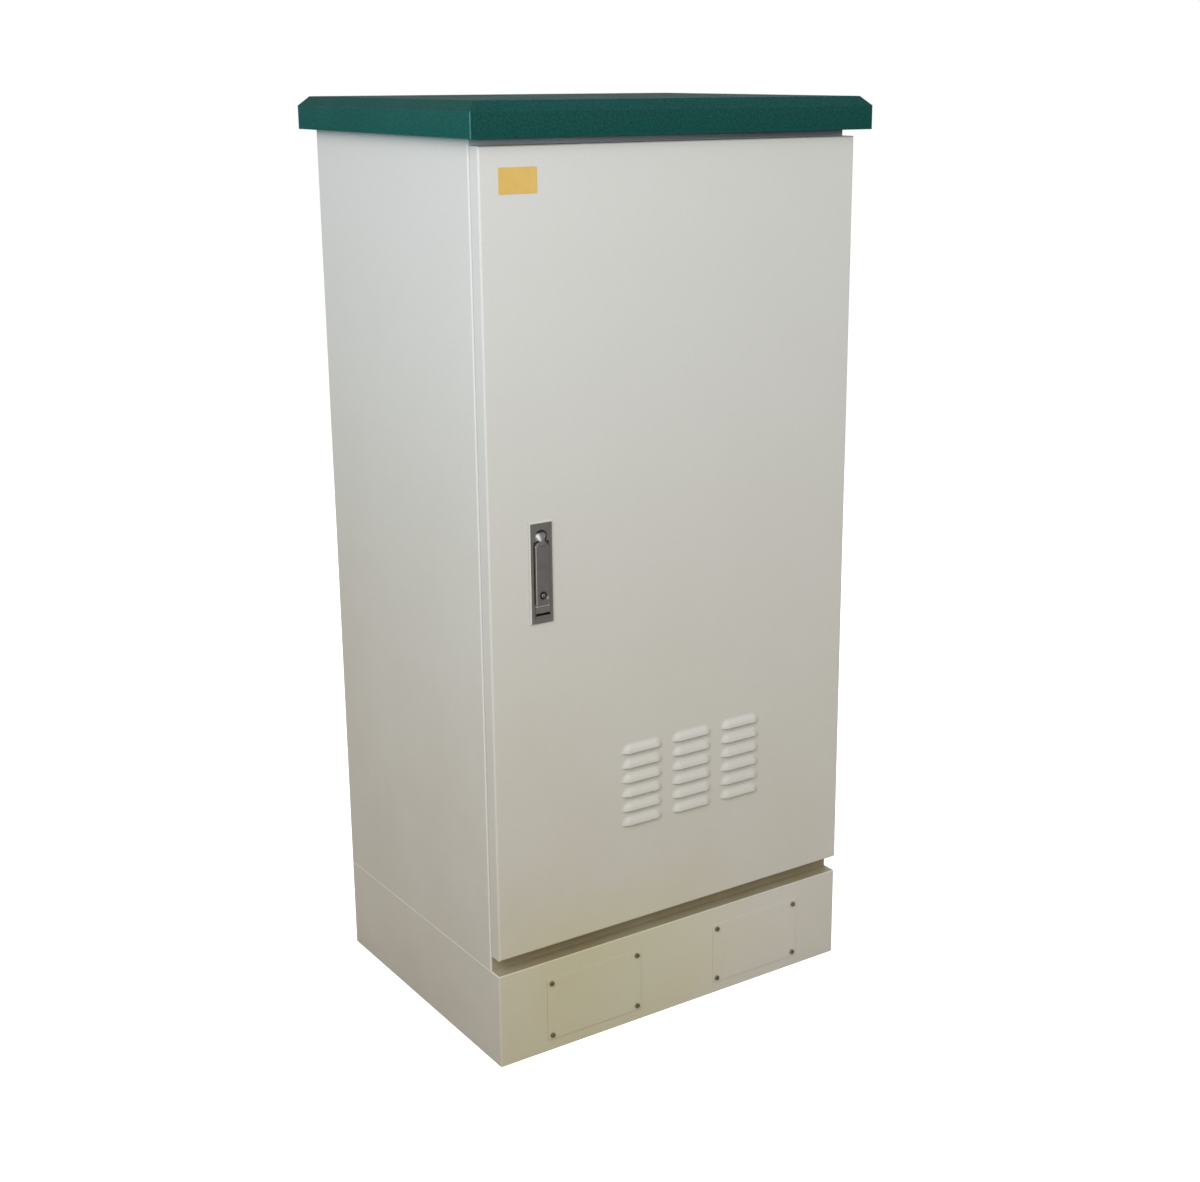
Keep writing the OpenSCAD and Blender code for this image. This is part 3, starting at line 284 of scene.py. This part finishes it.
def roofMarks():
    low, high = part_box("roof")
    marks = []
    for side in (-1, 1):  # painted light: side skirts a little brighter
        skin = band(side * (high.x + roofSkin["out"]), roofSkin["half"])
        marks.append({"X": skin, "mode": "MULTIPLY", "colour": (1.2, 1.36, 1.36)})
    for x in (low.x, high.x):
        for y in (low.y, high.y):  # painted highlight along the folds
            ranges = {"X": band(x, roofSkin["cornerHalf"]), "Y": band(y, roofSkin["cornerHalf"])}
            marks.append({**ranges, "soft": 0.0006, "colour": (0.07, 0.19, 0.17)})
    return marks


roofLook = {
    "colour": (0.005, 0.068, 0.060), "shade": (0.006, 0.074, 0.065), "speck": (0.004, 0.045, 0.041),
    "mottleScale": 4.0, "grainScale": 330.0, "grain": 1.0, "peelScale": 700.0, "peelDepth": 0.00012,
    "dustAndShadeTop": 1.36, "dustAndShadeLow": 1.42, "dustAndShade": 0.06, "dustAndShadeRight": 1.0, "dustScale": 9.0,
    "dustAndShadeColour": (0.10, 0.13, 0.12), "rough": 0.5, "gloss": 0.05,
    "marks": roofMarks(),
}
panelPaint = powderCoat("panelPaint", panelLook)
roofPaint = powderCoat("roofPaint", roofLook)


# cast, turned and plated metals: fine brushing along one axis over a cloudy tone
metalGrain = {
    "cloudDetail": 4.0, "smoother": 0.05, "rougher": 0.06,
    "turned": (-0.97, -0.85),  # a normal's Y where a face begins to turn away from the front
}


def metalFinish(name, look):
    mat, tree, shader = startMaterial(name)
    place = objectPlace(tree)
    cloud = noise(tree, place, look["cloudScale"], metalGrain["cloudDetail"])
    tone = blendColours(tree, spread(tree, cloud, *noiseSpan, 0.0, 1.0), look["colour"], look["shade"])
    lines = noise(tree, objectPlace(tree, look["brush"]), look["lineScale"])
    tone = blendColours(tree, spread(tree, lines, *noiseSpan, 0.0, look["lines"]), tone, look["shade"])
    for edge in look.get("highlightEdges", ()):  # painted highlights on edges, only where a face turns away
        coords = addNode(tree, "ShaderNodeTexCoord")
        facing = splitAxes(tree, coords.outputs["Normal"])["Y"]
        turned = spread(tree, facing, *metalGrain["turned"], 0.0, look["highlightShare"])
        tone = blendColours(tree, times(tree, turned, insideMark(tree, place, edge)), tone, look["edge"])
    for mark in look.get("marks", ()):
        tone = blendColours(tree, insideMark(tree, place, mark), tone, mark["colour"])
    if "ring" in look:
        tone = blendColours(tree, insideRing(tree, place, look["ring"]), tone, look["ring"]["colour"])
    tree.links.new(tone, shader.inputs["Base Color"])
    smooth, rough = look["rough"] - metalGrain["smoother"], look["rough"] + metalGrain["rougher"]
    tree.links.new(spread(tree, lines, *noiseSpan, smooth, rough), shader.inputs["Roughness"])
    shader.inputs["Metallic"].default_value = look["metal"]
    addBump(tree, shader, lines, look["depth"])
    return mat


rimHighlight = (0.60, 0.59, 0.57)
bezelLook = {
    "colour": (0.172, 0.167, 0.164), "shade": (0.128, 0.124, 0.121), "cloudScale": 60.0, "brush": (1, 1, 1),
    "lineScale": 900.0, "lines": 0.5, "rough": 0.42, "metal": 0.25, "depth": 0.00004,
    "edge": (0.68, 0.67, 0.64), "highlightShare": 0.95,
    # painted highlights on the left and top edges
    "highlightEdges": marksFrom(lowerLeft("lock_bezel"), {"X": (-0.0005, 0.0035)}, {"Z": (0.147, 0.1505)}),
    "marks": marksFrom(
        lowerLeft("lock_bezel"),
        {"X": (0.0075, 0.0305), "Z": (0.026, 0.0273), "colour": (0.50, 0.49, 0.48)},  # painted highlight on the foot's upper edge
        {"X": (-0.0005, 0.0008), "Z": (-0.0085, 0.1515), "soft": 0.0003, "colour": rimHighlight},  # painted highlight on the left rim
        {"X": (-0.0005, 0.0385), "Z": (0.1483, 0.1515), "soft": 0.0003, "colour": rimHighlight},  # painted highlight on the top rim
        {"X": (0.0074, 0.0306), "Z": (0.0123, 0.0159), "colour": (0.016, 0.016, 0.016)},  # painted shade in the finger slot
    ),
}
leverLook = {
    "colour": (0.153, 0.145, 0.150), "shade": (0.115, 0.11, 0.114), "cloudScale": 50.0, "brush": (1, 1, 0.12),
    "lineScale": 1400.0, "lines": 0.5, "rough": 0.4, "metal": 0.25, "depth": 0.00003,
    "edge": (0.45, 0.44, 0.43), "highlightShare": 0.9,
    # painted highlight on the left edge
    "highlightEdges": marksFrom(lowerLeft("lock_lever"), {"X": (-0.00025, 0.00675)}),
    "marks": marksFrom(
        lowerLeft("lock_lever"),
        {  # shaded left side
            "X": (-0.00125, 0.00015), "Y": (0.0008, 0.0094), "soft": 0.0003, "colour": (0.12, 0.118, 0.115),
        },
        {  # painted highlight beside the key
            "X": (0.01795, 0.01915), "Z": (0.0087, 0.0115), "soft": 0.0013, "colour": (0.38, 0.38, 0.37),
        },
    ),
}
hubDepth = (-0.0106, 0.0067)  # the round head in front of the shank
spindleLook = {
    "colour": (0.10, 0.10, 0.098), "shade": (0.08, 0.08, 0.078), "cloudScale": 80.0, "brush": (1, 1, 1),
    "lineScale": 800.0, "lines": 0.2, "rough": 0.32, "metal": 0.15, "depth": 0.00001,
    "marks": marksFrom(
        upperLeft("lock_spindle"),
        {"Y": hubDepth, "Z": (-0.014, 0.005), "colour": (0.14, 0.14, 0.138)},
        {  # painted highlight on the left
            "X": (-0.0105, 0.0043), "Y": hubDepth, "Z": (-0.014, -0.0065), "soft": 0.004,
            "colour": (0.72, 0.72, 0.71),
        },
        {"Y": hubDepth, "Z": (-0.0028, 0.005), "soft": 0.0012, "colour": (0.02, 0.02, 0.02)},  # painted shadow above, from the dish's wall
        {"Z": (-0.125, -0.014), "colour": (0.155, 0.15, 0.147)},  # neck in the lever's tone
    ),
}
keyMiddle = sum(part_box("key_cylinder"), Vector()) / 2
keyLook = {
    "colour": (0.24, 0.24, 0.235), "shade": (0.17, 0.17, 0.167), "cloudScale": 90.0, "brush": (1, 1, 1),
    "lineScale": 1200.0, "lines": 0.3, "rough": 0.3, "metal": 0.5, "depth": 0.00001,
    # painted shade in the groove round the key
    "ring": {
        "centre": (keyMiddle.x, keyMiddle.z), "inner": 0.0032, "outer": 0.0058,
        "colour": (0.035, 0.034, 0.033),
    },
    "marks": marksFrom(
        keyMiddle,
        # painted highlight at the upper left of the key
        {"X": (-0.0018, -0.0005), "Z": (0.0003, 0.0021), "soft": 0.0008, "colour": (0.55, 0.55, 0.54)},
    ),
}
screwLook = {
    "colour": (0.38, 0.33, 0.23), "shade": (0.15, 0.13, 0.096), "cloudScale": 260.0, "brush": (1, 1, 1),
    "lineScale": 900.0, "lines": 0.4, "rough": 0.5, "metal": 0.7, "depth": 0.00003,
}
zincLook = {
    "colour": (0.56, 0.57, 0.57), "shade": (0.44, 0.45, 0.46), "cloudScale": 45.0, "brush": (1, 1, 0.3),
    "lineScale": 600.0, "lines": 0.35, "rough": 0.36, "metal": 1.0, "depth": 0.00002,
}
bezelMetal = metalFinish("bezelMetal", bezelLook)
leverMetal = metalFinish("leverMetal", leverLook)
spindleMetal = metalFinish("spindleMetal", spindleLook)
keyMetal = metalFinish("keyMetal", keyLook)
screwMetal = metalFinish("screwMetal", screwLook)
zincPlate = metalFinish("zincPlate", zincLook)


# closed-cell seal: small pores
def sealFinish(name, look):
    mat, tree, shader = startMaterial(name)
    pores = noise(tree, objectPlace(tree), look["poreScale"], look["poreDetail"])
    tree.links.new(blendColours(tree, pores, look["colour"], look["shade"]), shader.inputs["Base Color"])
    shader.inputs["Roughness"].default_value = look["rough"]
    addBump(tree, shader, pores, look["depth"])
    return mat


sealLook = {
    "colour": (0.012, 0.012, 0.012), "shade": (0.035, 0.035, 0.034), "poreScale": 1500.0, "poreDetail": 3.0,
    "rough": 0.7, "depth": 0.0002,
}
sealRubber = sealFinish("sealRubber", sealLook)


# fibre mat: two crossed streak layers
def fibreFinish(name, look):
    mat, tree, shader = startMaterial(name)
    across = noise(tree, objectPlace(tree, look["across"]), look["fibreScale"], look["fibreDetail"])
    along = noise(tree, objectPlace(tree, look["along"]), look["fibreScale"], look["fibreDetail"])
    fibres = times(tree, across, along)
    tone = spread(tree, fibres, *look["fibreSpan"], 0.0, 1.0)
    tree.links.new(blendColours(tree, tone, look["shade"], look["colour"]), shader.inputs["Base Color"])
    shader.inputs["Roughness"].default_value = look["rough"]
    addBump(tree, shader, fibres, look["depth"])
    return mat


fibreLook = {
    "colour": (0.40, 0.40, 0.39), "shade": (0.16, 0.16, 0.155), "fibreScale": 300.0, "fibreDetail": 4.0,
    "fibreSpan": (0.12, 0.4), "across": (0.15, 1, 1), "along": (1, 1, 0.15), "rough": 0.9, "depth": 0.0008,
}
filterFibre = fibreFinish("filterFibre", fibreLook)


# coated film on the plate: even tone with a faint grain
def filmFinish(name, look):
    mat, tree, shader = startMaterial(name)
    place = objectPlace(tree)
    cloud = noise(tree, place, look["cloudScale"], look["cloudDetail"])
    tone = blendColours(tree, spread(tree, cloud, *noiseSpan, 0.0, 1.0), look["colour"], look["shade"])
    tree.links.new(tone, shader.inputs["Base Color"])
    shader.inputs["Roughness"].default_value = look["rough"]
    addBump(tree, shader, noise(tree, place, look["grainScale"]), look["depth"])
    return mat


filmLook = {
    "colour": (0.65, 0.435, 0.115), "shade": (0.61, 0.405, 0.098), "cloudScale": 60.0, "cloudDetail": 3.0,
    "grainScale": 1500.0, "rough": 0.45, "depth": 0.00003,
}
plateFilm = filmFinish("plateFilm", filmLook)
print("stage: materials made")

# a finish for every node, by its material slot or by its own name
slotFinish = {
    "panel_paint": panelPaint, "roof_paint": roofPaint, "key_metal": keyMetal, "screw_metal": screwMetal,
    "zinc_steel": zincPlate, "seal_rubber": sealRubber, "filter_fibre": filterFibre, "lock_metal": bezelMetal,
}
nodeFinish = {"lock_lever": leverMetal, "lock_spindle": spindleMetal}
for part in frame["record"]["subparts"]:
    name = part["node"]
    mesh = nodes[name].data
    mesh.materials.clear()
    mesh.materials.append(nodeFinish.get(name, slotFinish[part["material_slot"]]))
print("stage: nodes finished")


def onlyVerts(geom):
    return [v for v in geom if isinstance(v, bmesh.types.BMVert)]


def roundEdges(bm, edges, size, steps):
    bmesh.ops.bevel(bm, geom=edges, offset=size, affect="EDGES", segments=steps, profile=0.5, material=-1)


def finishPiece(name, bm, material, body):
    bmesh.ops.recalc_face_normals(bm, faces=bm.faces[:])
    mesh = bpy.data.meshes.new(name)
    bm.to_mesh(mesh)
    bm.free()
    mesh.materials.append(material)
    piece = bpy.data.objects.new(name, mesh)
    bpy.context.scene.collection.objects.link(piece)
    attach(piece, body)


# bare plate near the door's upper left corner, measured from the door's lower left corner
plate = {
    "left": 0.030, "right": 0.090, "low": 1.117, "high": 1.1525, "thick": 0.0004,
    "corner": 0.0018, "cornerSteps": 5, "rim": 0.00012, "rimSteps": 2,
    "sheetFront": -0.252,  # front of the door's sheet, which the louvres stand out from
    "facing": -0.5,  # a face whose normal's Y is below this looks forward
}


def makePlate():
    corner = lowerLeft("door_panel")
    wide, tall = plate["right"] - plate["left"], plate["high"] - plate["low"]
    across = corner.x + (plate["left"] + plate["right"]) / 2
    height = corner.z + (plate["low"] + plate["high"]) / 2
    bm = bmesh.new()
    bmesh.ops.create_cube(bm, size=1.0)
    bmesh.ops.scale(bm, vec=(wide, plate["thick"], tall), verts=bm.verts[:])
    uprights = [e for e in bm.edges if abs((e.verts[0].co - e.verts[1].co).y) > plate["thick"] / 2]
    roundEdges(bm, uprights, plate["corner"], plate["cornerSteps"])
    front = [e for e in bm.edges if all(v.co.y < 0 for v in e.verts)]
    rim = [e for e in front if len({f.normal.y < plate["facing"] for f in e.link_faces}) == 2]
    roundEdges(bm, rim, plate["rim"], plate["rimSteps"])
    middle = Vector((across, plate["sheetFront"] - plate["thick"] / 2, height))
    bmesh.ops.translate(bm, vec=middle, verts=bm.verts[:])
    finishPiece("barePlate", bm, plateFilm, "door")


makePlate()
print("stage: plate made")

# flanged hex screws down both rear flanges
rearScrew = {
    "flange": 0.0058, "flangeThick": 0.0011, "flangeSides": 28, "hex": 0.0042, "tall": 0.0040, "hexSides": 6,
    "round": 0.0006, "roundSteps": 3, "inset": 0.0165, "low": 0.05, "high": 0.06, "count": 7,
}


def makeRearScrews():
    low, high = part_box("side_panel_left")
    bm = bmesh.new()
    flange = (rearScrew["flangeSides"], rearScrew["flange"], rearScrew["flangeThick"])
    head = (rearScrew["hexSides"], rearScrew["hex"], rearScrew["tall"])
    for sides, radius, tall in (flange, head):
        disc = bmesh.ops.create_circle(bm, cap_ends=True, segments=sides, radius=radius)["verts"]
        grown = bmesh.ops.extrude_face_region(bm, geom=list(disc[0].link_faces))["geom"]
        bmesh.ops.translate(bm, vec=(0, 0, tall), verts=onlyVerts(grown))
        rim = [e for e in grown if isinstance(e, bmesh.types.BMEdge)]
        roundEdges(bm, rim, rearScrew["round"], rearScrew["roundSteps"])
    turn = Matrix.Rotation(-math.pi / 2, 3, "X")  # heads look back along Y
    bmesh.ops.rotate(bm, matrix=turn, verts=bm.verts[:])
    first = bm.verts[:] + bm.edges[:] + bm.faces[:]
    rise = (high.z - rearScrew["high"] - low.z - rearScrew["low"]) / (rearScrew["count"] - 1)
    for side in (-1, 1):
        for i in range(rearScrew["count"]):
            across = side * (-low.x - rearScrew["inset"])
            spot = Vector((across, high.y, low.z + rearScrew["low"] + i * rise))
            copy = bmesh.ops.duplicate(bm, geom=first)["geom"]
            bmesh.ops.translate(bm, vec=spot, verts=onlyVerts(copy))
    bmesh.ops.delete(bm, geom=onlyVerts(first), context="VERTS")
    finishPiece("rearScrews", bm, zincPlate, "cabinet")


makeRearScrews()
print("stage: rear screws made")

# pale floor, seen white but throwing back a warm, weaker light
floorLook = {
    "seen": (0.93, 0.93, 0.93), "glow": 0.58, "bounce": (0.44, 0.38, 0.28), "size": 14.0,
    "rough": 0.8, "gloss": 0.1,
}


def makeFloor():
    bm = bmesh.new()
    bmesh.ops.create_grid(bm, x_segments=1, y_segments=1, size=floorLook["size"])
    mesh = bpy.data.meshes.new("floor")
    bm.to_mesh(mesh)
    bm.free()
    mat, tree, shader = startMaterial("floorPale")
    seen = addNode(tree, "ShaderNodeLightPath").outputs["Is Camera Ray"]
    tone = blendColours(tree, seen, floorLook["bounce"], floorLook["seen"])
    tree.links.new(tone, shader.inputs["Base Color"])
    shader.inputs["Emission Color"].default_value = (1.0, 1.0, 1.0, 1.0)
    tree.links.new(times(tree, seen, floorLook["glow"]), shader.inputs["Emission Strength"])
    shader.inputs["Roughness"].default_value = floorLook["rough"]
    shader.inputs["Specular IOR Level"].default_value = floorLook["gloss"]
    mesh.materials.append(mat)
    floor = bpy.data.objects.new("floor", mesh)
    bpy.context.scene.collection.objects.link(floor)


# soft studio lamps and an even pale surround
lamps = {
    "cornerSoft": {
        "at": (-2.0, -1.9, 2.25), "to": (0.0, 0.0, 1.15), "size": 1.7,
        "watts": 56.0, "colour": (0.95, 0.98, 1.0), "mirrored": True,
    },
    "leftSoft": {
        "at": (-2.6, 0.1, 2.2), "to": (-0.3, 0.0, 1.15), "size": 1.4,
        "watts": 19.5, "colour": (0.79, 0.91, 1.0), "mirrored": True,
    },
    "frontSoft": {
        "at": (0.7, -2.6, 2.1), "to": (0.1, -0.25, 1.0), "size": 1.6,
        "watts": 17.0, "colour": (1.0, 0.99, 0.97), "mirrored": True,
    },
    "backSoft": {
        "at": (1.9, 2.4, 2.3), "to": (0.1, 0.1, 0.7), "size": 1.8,
        "watts": 60.0, "colour": (0.97, 0.99, 1.0), "mirrored": False,  # else the roof's top shines white
    },
}
worldLook = {"seen": (1.0, 1.0, 1.0), "colour": (1.0, 0.99, 0.97), "strength": 0.5}


def makeLamps():
    for name, lamp in lamps.items():
        light = bpy.data.lights.new(name, "AREA")
        light.shape = "DISK"
        light.size = lamp["size"]
        light.energy = lamp["watts"]
        light.color = lamp["colour"]
        obj = bpy.data.objects.new(name, light)
        at, to = Vector(lamp["at"]), Vector(lamp["to"])
        obj.location = at
        obj.rotation_euler = (to - at).to_track_quat("-Z", "Y").to_euler()
        obj.visible_glossy = lamp["mirrored"]
        bpy.context.scene.collection.objects.link(obj)


def makeWorld():
    world = bpy.data.worlds.new("studio")
    world.use_nodes = True
    tree = world.node_tree
    back = tree.nodes["Background"]
    seen = addNode(tree, "ShaderNodeLightPath").outputs["Is Camera Ray"]
    tree.links.new(blendColours(tree, seen, worldLook["colour"], worldLook["seen"]), back.inputs["Color"])
    tree.links.new(spread(tree, seen, 0.0, 1.0, worldLook["strength"], 1.0), back.inputs["Strength"])
    bpy.context.scene.world = world


# the photograph's viewing angle
view = {
    "at": (-1.50167, -2.35792, 1.45248), "along": (0.550453, 0.792327, -0.263096),
    "up": (0.151249, 0.215279, 0.964769), "lens": 53.6433, "sensor": 36.0,
    "shiftX": -0.047673, "shiftY": -0.027613,
}


def makeCamera():
    camera = bpy.data.cameras.new("camera")
    camera.lens = view["lens"]
    camera.sensor_width = view["sensor"]
    camera.shift_x, camera.shift_y = view["shiftX"], view["shiftY"]
    obj = bpy.data.objects.new("camera", camera)
    obj.location = view["at"]
    along, up = Vector(view["along"]).normalized(), Vector(view["up"]).normalized()
    right = along.cross(up).normalized()
    obj.rotation_euler = Matrix((right, right.cross(along), -along)).transposed().to_euler()
    bpy.context.scene.collection.objects.link(obj)
    bpy.context.scene.camera = obj


makeFloor()
makeLamps()
makeWorld()
makeCamera()
bpy.context.scene.view_settings.view_transform = "Standard"
print("stage: floor, light and camera set")
